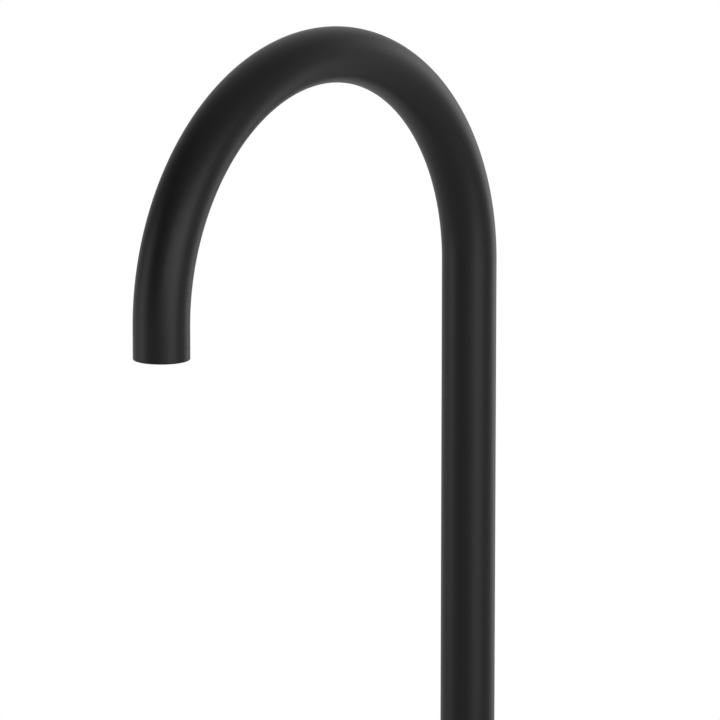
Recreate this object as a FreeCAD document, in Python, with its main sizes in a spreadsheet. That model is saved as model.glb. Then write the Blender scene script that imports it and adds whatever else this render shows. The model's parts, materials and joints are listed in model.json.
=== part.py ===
import FreeCAD, Part
import Sketcher
import math
import os

# A floor standing bath filler: a swan-neck spout that swivels on a single-lever mixer, carried by a
# column on a bolted floor base. Millimetres, +Z up, origin on the floor on the column's axis.
# The spout reaches towards -X. The lever's turret points towards -Y.

SIZES = {
    # spout
    "overall_height": 1100,         # floor to the top of the swan neck
    "pipe_diameter": 32,            # spout pipe, outside
    "pipe_wall": 1.5,
    "arch_radius": 136.2,           # swan neck's centre line
    "outlet_drop": 18.5,            # straight end after the bend
    "pipe_edge": 0.5,               # rounding of the outlet's edge
    # floor base
    "plate_diameter": 100,
    "plate_thickness": 6,
    "supply_hole": 36,              # clear way for the supplies
    "anchor_margin": 9,             # plate's rim to the middles of the anchor holes
    "anchor_hole": 9,
    "anchor_count": 4,
    "levelling_screw": 6,
    "levelling_length": 10,
    "levelling_socket": 3,          # across flats
    "socket_deep": 2.5,             # every key socket
    "post_wall": 3,                 # post inside the column's foot
    "post_top": 70,                 # floor to the post's top
    "post_chamfer": 1,
    "column_screw": 5,              # screws that hold the column to the post
    "column_screw_head": 8,
    "column_screw_head_thick": 2.4,
    "column_screw_height": 12,      # floor to their axes
    "screw_count": 3,               # round the column, at its foot and at its head
    "screw_socket": 2.5,            # across flats
    # cover
    "cover_gap": 3.5,               # plate to the cover's wall, radial
    "cover_height": 20,
    "cover_wall": 2.5,
    "cover_rounding": 4,
    "cover_play": 0.3,              # cover to column, radial
    "cover_ring": 1.3,              # section of the ring that grips the column
    # column and supplies
    "column_diameter": 50,
    "column_wall": 2,
    "slip_fit": 0.1,                # radial clearance of pieces pushed together
    "running_fit": 0.08,            # radial clearance of pieces that turn in each other
    "axial_play": 0.05,
    "end_play": 0.3,                # clear depth past screws, pegs, studs and the stop
    "seal_play": 0.03,              # ring to its groove
    "supply_offset": 10,            # supply pipe to the column's axis
    "supply_pipe": 12,
    "supply_wall": 1,
    "supply_socket": 11,            # depth of the pipe's sockets
    "supply_ring": 1.5,             # section of the rings that seal the supply pipes
    "ring_setback": 3.5,            # socket's mouth to the ring's groove
    "inlet_port": 15.2,
    "inlet_length": 14,
    "strainer_thickness": 1.6,
    "strainer_ledge": 0.6,          # port's wall to the strainer's seat
    "strainer_hole": 1.8,
    "strainer_hole_circle": 5,
    "manifold_height": 30,
    "clip_thickness": 1.2,          # snap ring over the manifold
    "clip_groove": 1.1,
    "clip_width": 2.9,
    "clip_opening": 10,
    # mixer body
    "body_diameter": 56,
    "body_bottom": 500,             # floor to the body's shoulder
    "body_length": 140,             # shoulder to top face
    "body_rounding": 1.5,
    "spigot_length": 32,            # body's foot inside the column
    "body_screw_drop": 14,          # shoulder to the axes of the body's screws
    "body_screw": 5,
    "body_screw_length": 6,
    "waterway": 8,
    "way_overrun": 1.5,             # upright ways past the level ones that meet them
    "turret_up": 70,                # shoulder to the turret's axis
    "turret_diameter": 48,
    "turret_reach": 42,             # column's axis to the turret's face
    "turret_chamfer": 0.8,
    "pocket_floor": 10,             # column's axis to the cartridge's seat
    "outlet_way": 10,
    "outlet_way_offset": 8,         # column's axis to the upright outlet way
    "socket_diameter": 27,          # swivel socket
    "socket_depth": 36,
    "neck_diameter": 40,
    "neck_height": 7,
    "counterbore": 36.4,            # round the spigot's flange
    # swivel
    "collar_diameter": 46,
    "collar_lip": 5,
    "collar_bore": 32.8,
    "collar_rounding": 3.5,
    "slide_ring": 1.5,
    "flange_thickness": 2.5,
    "flange_diameter": 35.8,
    "pipe_seat": 2.6,               # spigot's shoulder under the pipe
    "spigot_bore": 18,
    "braze_length": 20,             # spigot inside the pipe
    "swivel_angle": 60,             # each way
    "slot_spare": 2,                # degrees, the slot beyond the swivel
    "stop_screw": 5,
    "stop_tip": 4,
    "stop_tip_length": 2.2,
    "stop_screw_length": 12,
    "stop_drop": 18,                # body's top face to the stop screw
    "swivel_ring": 2.4,             # section of the rings in the swivel
    "swivel_ring_low": 31,          # body's top face to the lower ring
    "swivel_ring_high": 8,          # body's top face to the upper ring
    # cartridge, counted outwards from its seat
    "pocket_diameter": 35.2,
    "base_thickness": 4.5,
    "base_lip": 1.5,                # depth and width of the port seals
    "peg_diameter": 3,
    "peg_length": 2.5,
    "peg_side": 12.5,
    "peg_down": 5,
    "fixed_disc": 3.5,
    "moving_disc": 3,
    "carrier_height": 5,
    "rotor_gap": 0.4,
    "rotor_height": 9,
    "rotor_play": 0.2,
    "rotor_slot": 11.6,             # room for the stem's tilt
    "leg_width": 8,
    "disc_diameter": 24,
    "disc_seal": 0.5,               # overlap that shuts the inlets
    "cavity_depth": 1.8,
    "cavity_margin": 0.7,           # mixing hollow past the middle of the inlets
    "flat_width": 21.6,             # carrier, across its flats
    "housing_bore": 30,
    "housing_top": 2.4,
    "housing_neck": 26,
    "housing_neck_height": 3,
    "stem_opening": 20,             # through the housing and the bonnet
    "inlet_way": 5.6,
    "inlet_way_side": 6.5,
    "inlet_way_up": 4,
    "mixed_way": 6,
    "mixed_way_down": 6.5,
    "stem_side": 8,
    "stem_arm": 8,                  # pivot to the ball
    "stem_ball": 4.6,
    "stem_neck": 3.2,
    "stem_foot": 4,                 # pivot to the shank's inner end
    "stem_reach": 29,               # pivot to the shank's outer end
    "lever_angle": 25,              # tilt from shut to open
    "pivot_pin": 3,
    "pivot_pin_length": 22,
    # nut, bonnet and lever
    "nut_diameter": 38,
    "nut_height": 3.9,
    "nut_collar": 30,
    "nut_collar_height": 2,
    "notch_width": 4,
    "notch_count": 4,
    "dome_radius": 21,              # bonnet, round the pivot
    "dome_wall": 1.5,
    "hub_diameter": 48,
    "hub_end": 38,                  # pivot to the hub's outer face
    "hub_hollow": 22,               # pivot to the end of the hub's hollow
    "hub_play": 0.5,                # hub to bonnet
    "hub_gap": 3.7,                 # hub's rim to the turret, on the rod's side
    "hub_slant": 6,                 # how far the rim falls back at the other side
    "hub_rounding": 2.5,
    "rod_diameter": 9,
    "rod_reach": 92,                # turret's axis to the rod's tip
    "rod_place": 30,                # pivot to the rod's axis
    "rod_seat": 3,
    "rod_stud": 6,
    "rod_stud_length": 7,
    "rod_rounding": 2,
    "grub_screw": 5,
    "grub_length": 10,
    "grub_place": 26,               # pivot to the grub screw's axis
    "plug_diameter": 8,
    "plug_length": 4,
    # outlet
    "insert_recess": 1.2,           # how far the flow straightener sits back
    "insert_flange": 27.6,
    "insert_flange_thick": 2,
    "insert_thread": 24,
    "insert_height": 9,
    "insert_wall": 1.6,
    "insert_notch": 3,
    "gasket_thickness": 1,
    "adaptor_length": 12,
    "adaptor_play": 0.15,           # thread, radial
    "cell_width": 2.2,              # across flats
    "cell_wall": 0.5,
    "core_height": 5,
    "screen_thickness": 0.8,
    "screen_hole": 1.6,             # across flats
}


class Size:
    """A length or an angle, with the sheet expression that gives it."""

    def __init__(self, value, text):
        self.value = float(value)
        self.text = text

    def __add__(self, other):
        other = as_size(other)
        return Size(self.value + other.value, f"({self.text} + {other.text})")

    def __sub__(self, other):
        other = as_size(other)
        return Size(self.value - other.value, f"({self.text} - {other.text})")

    def __mul__(self, other):
        other = as_size(other)
        return Size(self.value * other.value, f"({self.text} * {other.text})")

    def __truediv__(self, other):
        other = as_size(other)
        return Size(self.value / other.value, f"({self.text} / {other.text})")

    def __radd__(self, other):
        return as_size(other) + self

    def __rsub__(self, other):
        return as_size(other) - self

    def __rmul__(self, other):
        return as_size(other) * self

    def __rtruediv__(self, other):
        return as_size(other) / self

    def __neg__(self):
        return as_size(0) - self


def as_size(amount):
    if isinstance(amount, Size):
        return amount
    return Size(amount, str(amount))


def sine(angle):
    return Size(math.sin(math.radians(angle.value)), f"sin({angle.text})")


def cosine(angle):
    return Size(math.cos(math.radians(angle.value)), f"cos({angle.text})")


def root(amount):
    return Size(math.sqrt(amount.value), f"sqrt({amount.text})")


class Dimensions:
    """The driving sizes, kept in the document's sheet."""

    def __init__(self, sheet):
        for row, (alias, amount) in enumerate(SIZES.items(), start=1):
            sheet.set(f"A{row}", alias)
            sheet.set(f"B{row}", str(amount))
            sheet.setAlias(f"B{row}", alias)
            setattr(self, alias, Size(amount, "Sizes." + alias))


document = FreeCAD.newDocument("bath_filler")
dim = Dimensions(document.addObject("Spreadsheet::Sheet", "Sizes"))
document.recompute()
sub_parts = []

ALONG_Z = (0, 0, 1)
ALONG_X = (1, 0, 0)
LEVEL = "XY_Plane"
FRONT = "XZ_Plane"      # sketch x is X, sketch y is Z, its normal is -Y
SIDE = "YZ_Plane"       # sketch x is Y, sketch y is Z, its normal is X


def bind(item, place, amount):
    item.setExpression(place, as_size(amount).text)


def origin_feature(body, role):
    return next(feature for feature in body.Origin.OriginFeatures if feature.Role == role)


def new_body(label):
    body = document.addObject("PartDesign::Body", label)
    body.Label = label
    sub_parts.append(body)
    return body


def place(item, x=0, y=0, z=0, axis=ALONG_Z, angle=0):
    turn = FreeCAD.Rotation(FreeCAD.Vector(*axis), as_size(angle).value)
    item.Placement = FreeCAD.Placement(FreeCAD.Vector(0, 0, 0), turn)
    bind(item, "Placement.Base.x", x)
    bind(item, "Placement.Base.y", y)
    bind(item, "Placement.Base.z", z)
    if isinstance(angle, Size):
        bind(item, "Placement.Rotation.Angle", angle)


def grouped(label, pieces):
    """Keep like screws together as one sub-part of separate solids."""
    group = document.addObject("Part::Compound", label)
    group.Label = label
    group.Links = pieces
    for piece in pieces:
        sub_parts.remove(piece)
    sub_parts.append(group)


def on_turret(item, outwards, angle=90):
    """Stand the piece's own Z axis along the turret, so many millimetres out of the cartridge's seat."""
    place(item, 0, -(dim.pocket_floor + outwards), lever_height, ALONG_X, angle)


def bearings(count, first=0):
    """Degrees round the column of pieces that stand evenly apart."""
    return [(first + 360 / count.value * number) % 360 for number in range(int(count.value))]


def direction(bearing):
    angle = math.radians(bearing)
    return round(math.cos(angle), 9), round(math.sin(angle), 9)


def point_inwards(item, bearing, out, height):
    """Turn the piece's own Z axis towards the column's axis, from so far out at this bearing."""
    across, along = direction(bearing)
    inwards = FreeCAD.Rotation(FreeCAD.Vector(0, 0, 1), FreeCAD.Vector(-across, -along, 0))
    item.Placement = FreeCAD.Placement(FreeCAD.Vector(0, 0, 0), inwards)
    bind(item, "Placement.Base.x", out * across)
    bind(item, "Placement.Base.y", out * along)
    bind(item, "Placement.Base.z", height)


def new_sketch(body, name, plane, start=0, tilt=None):
    sketch = body.newObject("Sketcher::SketchObject", name)
    sketch.AttachmentSupport = [(origin_feature(body, plane), "")]
    sketch.MapMode = "FlatFace"
    if tilt is not None:
        back = FreeCAD.Rotation(FreeCAD.Vector(-1, 0, 0), tilt.value)
        sketch.AttachmentOffset = FreeCAD.Placement(FreeCAD.Vector(0, 0, 0), back)
        bind(sketch, "AttachmentOffset.Rotation.Angle", tilt)
    bind(sketch, "AttachmentOffset.Base.z", start)
    return sketch


def hold(sketch, geometry, point, kind, amount):
    """Hold a point of the sketch at its distance from the origin, sideways or upwards."""
    amount = as_size(amount)
    index = sketch.addConstraint(Sketcher.Constraint(kind, -1, 1, geometry, point, amount.value))
    name = f"{kind}_{geometry}_{point}"
    sketch.renameConstraint(index, name)
    bind(sketch, "Constraints." + name, amount)


def hold_point(sketch, geometry, point, x, y):
    hold(sketch, geometry, point, "DistanceX", x)
    hold(sketch, geometry, point, "DistanceY", y)


def add_polygon(sketch, corners):
    points = [FreeCAD.Vector(as_size(x).value, as_size(y).value, 0) for x, y in corners]
    first = sketch.GeometryCount
    count = len(points)
    for index in range(count):
        sketch.addGeometry(Part.LineSegment(points[index], points[(index + 1) % count]), False)
    for index in range(count):
        following = first + (index + 1) % count
        sketch.addConstraint(Sketcher.Constraint("Coincident", first + index, 2, following, 1))
    for index, (x, y) in enumerate(corners):
        hold_point(sketch, first + index, 1, x, y)


def add_circle(sketch, x, y, radius):
    centre = FreeCAD.Vector(as_size(x).value, as_size(y).value, 0)
    radius = as_size(radius)
    index = sketch.addGeometry(Part.Circle(centre, FreeCAD.Vector(0, 0, 1), radius.value), False)
    hold_point(sketch, index, 3, x, y)
    name = f"Radius_{index}"
    constraint = sketch.addConstraint(Sketcher.Constraint("Radius", index, radius.value))
    sketch.renameConstraint(constraint, name)
    bind(sketch, "Constraints." + name, radius)


def draw(sketch, circles, polygons):
    for x, y, radius in circles:
        add_circle(sketch, x, y, radius)
    for corners in polygons:
        add_polygon(sketch, corners)


def turned(body, name, corners, plane=FRONT):
    """Turn a profile of radius and height round the body's own Z axis."""
    sketch = new_sketch(body, name + "_profile", plane)
    add_polygon(sketch, corners)
    feature = body.newObject("PartDesign::Revolution", name)
    feature.Profile = sketch
    feature.ReferenceAxis = (origin_feature(body, "Z_Axis"), [""])
    feature.Angle = 360
    return feature


def grooved(body, name, corners, angle=360, plane=FRONT):
    """Cut a profile of radius and height round the body's own Z axis."""
    sketch = new_sketch(body, name + "_profile", plane)
    add_polygon(sketch, corners)
    feature = body.newObject("PartDesign::Groove", name)
    feature.Profile = sketch
    feature.ReferenceAxis = (origin_feature(body, "Z_Axis"), [""])
    feature.Midplane = True
    feature.Angle = as_size(angle).value
    if isinstance(angle, Size):
        bind(feature, "Angle", angle)
    return feature


def padded(body, name, plane, start, length, circles=(), polygons=()):
    """Raise circles or polygons from a plane, along its normal."""
    sketch = new_sketch(body, name + "_outline", plane, start)
    draw(sketch, circles, polygons)
    feature = body.newObject("PartDesign::Pad", name)
    feature.Profile = sketch
    bind(feature, "Length", length)
    return feature


def pocketed(body, name, plane, start, length, circles=(), polygons=(), back=False, tilt=None):
    """Cut circles or polygons from a plane, along its normal, or against it where back is set."""
    sketch = new_sketch(body, name + "_outline", plane, start, tilt)
    draw(sketch, circles, polygons)
    feature = body.newObject("PartDesign::Pocket", name)
    feature.Profile = sketch
    feature.Reversed = not back
    bind(feature, "Length", length)
    return feature


def patterned(body, name, feature, count):
    """Repeat a feature round the body's own Z axis."""
    document.recompute()
    pattern = body.newObject("PartDesign::PolarPattern", name)
    pattern.Originals = [feature]
    pattern.Axis = (origin_feature(body, "Z_Axis"), [""])
    pattern.Angle = 360
    bind(pattern, "Occurrences", count)
    body.Tip = pattern
    return pattern


def rims_at(feature, radius, height, along="Z"):
    """Names of the feature's round edges of this radius, square to an axis at this place on it."""
    document.recompute()
    radius = as_size(radius)
    height = as_size(height)
    names = []
    for index, edge in enumerate(feature.Shape.Edges, start=1):
        low = getattr(edge.BoundBox, along + "Min")
        high = getattr(edge.BoundBox, along + "Max")
        level = abs(low - height.value) < 0.001 and abs(high - height.value) < 0.001
        if level and abs(edge.Length - 2 * math.pi * radius.value) < 0.001:
            names.append(f"Edge{index}")
    if not names:
        raise RuntimeError(f"{feature.Name} has no rim of radius {radius.value} at {height.value}")
    return names


def rounded(body, name, feature, radius, height, rounding):
    fillet = body.newObject("PartDesign::Fillet", name)
    fillet.Base = (feature, rims_at(feature, radius, height))
    bind(fillet, "Radius", rounding)
    return fillet


def bevelled(body, name, feature, radius, height, bevel, along="Z"):
    chamfer = body.newObject("PartDesign::Chamfer", name)
    chamfer.Base = (feature, rims_at(feature, radius, height, along))
    bind(chamfer, "Size", bevel)
    return chamfer


def ball(body, name, kind, radius, height=0):
    sphere = body.newObject(kind, name)
    bind(sphere, "Radius", radius)
    sphere.AttachmentSupport = [(origin_feature(body, LEVEL), "")]
    sphere.MapMode = "FlatFace"
    bind(sphere, "AttachmentOffset.Base.z", height)
    return sphere


def hexagon(x, y, across_flats, turn=0):
    """Corners of a hexagon; one corner points along X unless it is turned."""
    corners = []
    reach = across_flats / (2 * math.cos(math.radians(30)))
    for index in range(6):
        angle = math.radians(60 * index + turn)
        corners.append((x + reach * round(math.cos(angle), 9), y + reach * round(math.sin(angle), 9)))
    return corners


def rectangle(left, right, low, high):
    return [(left, low), (right, low), (right, high), (left, high)]


def seal_ring(label, centre_radius, section, x, y, z):
    """A level ring, its eight-sided section as wide and as high as the round one it stands for."""
    ring = new_body(label)
    half = section / 2
    cut = half * round(math.tan(math.radians(22.5)), 9)
    turned(ring, "ring", [
        (centre_radius - half, -cut),
        (centre_radius - cut, -half),
        (centre_radius + cut, -half),
        (centre_radius + half, -cut),
        (centre_radius + half, cut),
        (centre_radius + cut, half),
        (centre_radius - cut, half),
        (centre_radius - half, cut),
    ])
    place(ring, x, y, z)
    return ring


def socket_screw(label, diameter, length, across_flats):
    """A headless screw along its own Z, its key socket in the end at its origin."""
    screw = new_body(label)
    padded(screw, "shank", LEVEL, 0, length, [(0, 0, diameter / 2)])
    pocketed(screw, "key", LEVEL, 0, dim.socket_deep, polygons=[hexagon(0, 0, across_flats)])
    return screw


# Radii and heights that several pieces share.
pipe_radius = dim.pipe_diameter / 2
pipe_bore = pipe_radius - dim.pipe_wall
column_radius = dim.column_diameter / 2
column_bore = column_radius - dim.column_wall
post_radius = column_bore - dim.slip_fit
post_bore = post_radius - dim.post_wall
manifold_radius = post_bore - dim.slip_fit
manifold_top = dim.plate_thickness + dim.manifold_height
spigot_bottom = dim.body_bottom - dim.spigot_length
body_top = dim.body_bottom + dim.body_length
lever_height = dim.body_bottom + dim.turret_up
neck_top = body_top + dim.neck_height
socket_floor = body_top - dim.socket_depth
flange_stack = 2 * dim.slide_ring + dim.flange_thickness + 2 * dim.axial_play
flange_low = neck_top - flange_stack + dim.slide_ring + dim.axial_play
flange_high = flange_low + dim.flange_thickness
pipe_low = flange_high + dim.pipe_seat
arch_low = dim.overall_height - pipe_radius - dim.arch_radius
outlet_low = arch_low - dim.outlet_drop
reach = 2 * dim.arch_radius
supply_low = manifold_top - dim.supply_socket + dim.slip_fit
supply_high = spigot_bottom + dim.supply_socket - dim.slip_fit
supply_ring_radius = dim.supply_pipe / 2 + dim.supply_ring / 2 + dim.seal_play
supply_groove_radius = dim.supply_pipe / 2 + dim.supply_ring + 2 * dim.seal_play
body_screw_height = dim.body_bottom - dim.body_screw_drop
stop_height = body_top - dim.stop_drop
journal_radius = dim.socket_diameter / 2 - dim.running_fit
carrier_low = dim.base_thickness + dim.fixed_disc + dim.moving_disc
rotor_low = carrier_low + dim.carrier_height + dim.rotor_gap
rotor_high = rotor_low + dim.rotor_height
pivot_out = carrier_low + dim.carrier_height / 2 + dim.slip_fit * 2 + dim.stem_arm
housing_shoulder = rotor_high + dim.rotor_play + dim.housing_top
turret_out = dim.turret_reach - dim.pocket_floor
half_tilt = dim.lever_angle / 2
disc_travel = dim.stem_arm * sine(half_tilt)
cartridge_radius = dim.pocket_diameter / 2 - dim.slip_fit
face_from_pivot = turret_out - pivot_out

# Floor base: plate and post in one, with the ledge that carries the inlet manifold.
floor_base = new_body("floor_base")
base_turned = turned(floor_base, "plate_and_post", [
    (dim.supply_hole / 2, 0),
    (dim.plate_diameter / 2, 0),
    (dim.plate_diameter / 2, dim.plate_thickness),
    (post_radius, dim.plate_thickness),
    (post_radius, dim.post_top),
    (post_bore, dim.post_top),
    (post_bore, dim.plate_thickness),
    (dim.supply_hole / 2, dim.plate_thickness),
])
bevelled(floor_base, "post_lead", base_turned, post_radius, dim.post_top, dim.post_chamfer)
clip_low = manifold_top
clip_high = manifold_top + dim.clip_thickness + 2 * dim.axial_play
grooved(floor_base, "clip_seat", [
    (post_bore - dim.slip_fit, clip_low),
    (post_bore + dim.clip_groove, clip_low),
    (post_bore + dim.clip_groove, clip_high),
    (post_bore - dim.slip_fit, clip_high),
])
half_step = 180 / dim.anchor_count      # the anchors lie halfway between the levelling screws
anchor_radius = dim.plate_diameter / 2 - dim.anchor_margin
anchor_drilled = pocketed(
    floor_base, "anchor_hole", LEVEL, 0, dim.plate_thickness,
    [(anchor_radius * cosine(half_step), anchor_radius * sine(half_step), dim.anchor_hole / 2)])
patterned(floor_base, "anchor_holes", anchor_drilled, dim.anchor_count)
levelling_tapped = pocketed(
    floor_base, "levelling_hole", LEVEL, 0, dim.plate_thickness,
    [(anchor_radius, 0, dim.levelling_screw / 2 + dim.axial_play)])
patterned(floor_base, "levelling_holes", levelling_tapped, dim.anchor_count)
post_tapped = pocketed(
    floor_base, "column_screw_hole", FRONT, 0, dim.plate_diameter / 2,
    [(0, dim.column_screw_height, dim.column_screw / 2 + dim.axial_play)])
patterned(floor_base, "column_screw_holes", post_tapped, dim.screw_count)

# Levelling screws stand in the plate, their key sockets up.
levelling_screws = []
for bearing in bearings(dim.anchor_count):
    screw = socket_screw(
        f"levelling_screw_{bearing:.0f}", dim.levelling_screw, dim.levelling_length, dim.levelling_socket)
    across, along = direction(bearing)
    place(screw, anchor_radius * across, anchor_radius * along, dim.levelling_length, ALONG_X, 180)
    levelling_screws.append(screw)
grouped("levelling_screws", levelling_screws)

# Column screws pass through the column into the post and are hidden by the cover.
shank_end = dim.column_screw_head_thick + dim.column_wall + dim.post_wall - dim.end_play
column_screws = []
for bearing in bearings(dim.screw_count, 270):
    screw = new_body(f"column_screw_{bearing:.0f}")
    turned(screw, "head_and_shank", [
        (0, 0),
        (dim.column_screw_head / 2, 0),
        (dim.column_screw_head / 2, dim.column_screw_head_thick),
        (dim.column_screw / 2, dim.column_screw_head_thick),
        (dim.column_screw / 2, shank_end),
        (0, shank_end),
    ])
    pocketed(screw, "key", LEVEL, 0, dim.column_screw_head_thick / 2,
             polygons=[hexagon(0, 0, dim.screw_socket)])
    point_inwards(screw, bearing, column_radius + dim.column_screw_head_thick, dim.column_screw_height)
    column_screws.append(screw)
grouped("column_screws", column_screws)

# Floor cover: an open shell that hides the plate, with a ring that grips the column.
cover_radius = dim.plate_diameter / 2 + dim.cover_gap + dim.cover_wall
cover_hole = column_radius + dim.cover_play
cover_middle = dim.cover_height - dim.cover_wall / 2
floor_cover = new_body("floor_cover")
cover_turned = turned(floor_cover, "shell", [
    (cover_hole, dim.cover_height - dim.cover_wall),
    (cover_radius - dim.cover_wall, dim.cover_height - dim.cover_wall),
    (cover_radius - dim.cover_wall, 0),
    (cover_radius, 0),
    (cover_radius, dim.cover_height),
    (cover_hole, dim.cover_height),
])
rounded(floor_cover, "top_edge", cover_turned, cover_radius, dim.cover_height, dim.cover_rounding)
cover_ring_out = column_radius + dim.cover_ring + 2 * dim.seal_play
grooved(floor_cover, "ring_groove", [
    (cover_hole - dim.slip_fit, cover_middle - dim.cover_ring / 2),
    (cover_ring_out, cover_middle - dim.cover_ring / 2),
    (cover_ring_out, cover_middle + dim.cover_ring / 2),
    (cover_hole - dim.slip_fit, cover_middle + dim.cover_ring / 2),
])
seal_ring("cover_seal", column_radius + dim.cover_ring / 2 + dim.seal_play, dim.cover_ring,
          0, 0, cover_middle)

# Inlet manifold: a hot and a cold port below, a ringed socket for each supply pipe above.
inlet_manifold = new_body("inlet_manifold")
manifold_turned = turned(inlet_manifold, "blank", [
    (0, dim.plate_thickness),
    (manifold_radius, dim.plate_thickness),
    (manifold_radius, manifold_top),
    (0, manifold_top),
])
strainer_low = dim.plate_thickness + dim.inlet_length
strainer_seat = dim.inlet_port / 2 - dim.strainer_ledge
sides = ((-1, "hot"), (1, "cold"))
socket_ring_low = manifold_top - dim.ring_setback
for side, name in sides:
    x = side * dim.supply_offset
    pocketed(inlet_manifold, name + "_port", LEVEL, dim.plate_thickness, dim.inlet_length,
             [(x, 0, dim.inlet_port / 2)])
    pocketed(inlet_manifold, name + "_strainer_seat", LEVEL, strainer_low,
             dim.strainer_thickness + dim.axial_play, [(x, 0, strainer_seat)])
    pocketed(inlet_manifold, name + "_way", LEVEL, dim.plate_thickness, dim.manifold_height,
             [(x, 0, dim.waterway / 2)])
    pocketed(inlet_manifold, name + "_socket", LEVEL, manifold_top, dim.supply_socket,
             [(x, 0, dim.supply_pipe / 2 + dim.slip_fit)], back=True)
    pocketed(inlet_manifold, name + "_ring_groove", LEVEL, socket_ring_low, dim.supply_ring + dim.slip_fit,
             [(x, 0, supply_groove_radius)], back=True)
    seal_ring(name + "_lower_seal", supply_ring_radius, dim.supply_ring,
              x, 0, socket_ring_low - (dim.supply_ring + dim.slip_fit) / 2)

    strainer = new_body(name + "_strainer")
    padded(strainer, "disc", LEVEL, strainer_low, dim.strainer_thickness,
           [(0, 0, strainer_seat - dim.slip_fit)])
    pocketed(strainer, "middle_hole", LEVEL, strainer_low, dim.strainer_thickness,
             [(0, 0, dim.strainer_hole / 2)])
    mesh_hole = pocketed(strainer, "hole", LEVEL, strainer_low, dim.strainer_thickness,
                         [(dim.strainer_hole_circle / 2, 0, dim.strainer_hole / 2)])
    patterned(strainer, "holes", mesh_hole, 6)
    place(strainer, x, 0, 0)

    pipe = new_body(name + "_supply_pipe")
    padded(pipe, "tube", LEVEL, supply_low, supply_high - supply_low,
           [(0, 0, dim.supply_pipe / 2), (0, 0, dim.supply_pipe / 2 - dim.supply_wall)])
    place(pipe, x, 0, 0)

# Snap ring in the post's groove, over the manifold.
manifold_clip = new_body("manifold_clip")
clip_out = post_bore + dim.clip_groove - dim.slip_fit
turned(manifold_clip, "ring", [
    (clip_out - dim.clip_width, clip_low + dim.axial_play),
    (clip_out, clip_low + dim.axial_play),
    (clip_out, clip_low + dim.axial_play + dim.clip_thickness),
    (clip_out - dim.clip_width, clip_low + dim.axial_play + dim.clip_thickness),
])
pocketed(manifold_clip, "opening", LEVEL, clip_low, 2 * dim.clip_thickness,
         polygons=[rectangle(-(dim.clip_opening / 2), dim.clip_opening / 2, 0, dim.plate_diameter / 2)])

# Column
column_tube = new_body("column_tube")
padded(column_tube, "tube", LEVEL, dim.plate_thickness, dim.body_bottom - dim.plate_thickness,
       [(0, 0, column_radius), (0, 0, column_bore)])
foot_hole = pocketed(
    column_tube, "foot_hole", FRONT, 0, dim.plate_diameter / 2,
    [(0, dim.column_screw_height, dim.column_screw / 2 + dim.slip_fit)])
patterned(column_tube, "foot_holes", foot_hole, dim.screw_count)
head_hole = pocketed(
    column_tube, "head_hole", FRONT, -(dim.plate_diameter / 2), dim.plate_diameter / 2,
    [(0, body_screw_height, dim.body_screw / 2 + dim.axial_play)])
patterned(column_tube, "head_holes", head_hole, dim.screw_count)

# Mixer body: foot, barrel, threaded neck and the turret for the cartridge, bored for the water.
body_radius = dim.body_diameter / 2
mixer_body = new_body("mixer_body")
counterbore_floor = neck_top - flange_stack
barrel = turned(mixer_body, "barrel", [
    (0, spigot_bottom),
    (post_radius, spigot_bottom),
    (post_radius, dim.body_bottom),
    (body_radius, dim.body_bottom),
    (body_radius, body_top),
    (dim.neck_diameter / 2, body_top),
    (dim.neck_diameter / 2, neck_top),
    (dim.counterbore / 2, neck_top),
    (dim.counterbore / 2, counterbore_floor),
    (dim.socket_diameter / 2, counterbore_floor),
    (dim.socket_diameter / 2, socket_floor),
    (0, socket_floor),
])
top_edge = rounded(mixer_body, "top_edge", barrel, body_radius, body_top, dim.body_rounding)
rounded(mixer_body, "shoulder_edge", top_edge, body_radius, dim.body_bottom, dim.body_rounding)
turret = padded(mixer_body, "turret", FRONT, 0, dim.turret_reach,
                [(0, lever_height, dim.turret_diameter / 2)])
bevelled(mixer_body, "turret_edge", turret, dim.turret_diameter / 2, -dim.turret_reach,
         dim.turret_chamfer, "Y")
pocketed(mixer_body, "cartridge_pocket", FRONT, dim.pocket_floor, turret_out,
         [(0, lever_height, dim.pocket_diameter / 2)])
nut_floor = dim.pocket_floor + housing_shoulder - dim.slip_fit
pocketed(mixer_body, "nut_thread", FRONT, nut_floor, dim.turret_reach - nut_floor,
         [(0, lever_height, dim.nut_diameter / 2)])
for side, name in sides:
    x = side * dim.supply_offset
    pocketed(mixer_body, name + "_socket", LEVEL, spigot_bottom, dim.supply_socket,
             [(x, 0, dim.supply_pipe / 2 + dim.slip_fit)])
    pocketed(mixer_body, name + "_ring_groove", LEVEL, spigot_bottom + dim.ring_setback,
             dim.supply_ring + dim.slip_fit, [(x, 0, supply_groove_radius)])
    inlet_way_height = lever_height + dim.inlet_way_up
    pocketed(mixer_body, name + "_riser", LEVEL, spigot_bottom,
             inlet_way_height + dim.inlet_way / 2 + dim.way_overrun - spigot_bottom,
             [(x, 0, dim.waterway / 2)])
    pocketed(mixer_body, name + "_way", FRONT, 0, dim.pocket_floor,
             [(side * dim.inlet_way_side, inlet_way_height, dim.inlet_way / 2)])
    pocketed(mixer_body, name + "_peg_hole", FRONT, dim.pocket_floor, dim.peg_length + dim.end_play,
             [(side * dim.peg_side, lever_height - dim.peg_down, dim.peg_diameter / 2 + dim.slip_fit)],
             back=True)
    seal_ring(name + "_upper_seal", supply_ring_radius, dim.supply_ring,
              x, 0, spigot_bottom + dim.ring_setback + (dim.supply_ring + dim.slip_fit) / 2)
mixed_way_height = lever_height - dim.mixed_way_down
pocketed(mixer_body, "mixed_way", FRONT, -dim.outlet_way_offset, dim.outlet_way_offset + dim.pocket_floor,
         [(0, mixed_way_height, dim.mixed_way / 2)])
outlet_riser_low = mixed_way_height - dim.mixed_way / 2 - dim.way_overrun
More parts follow.
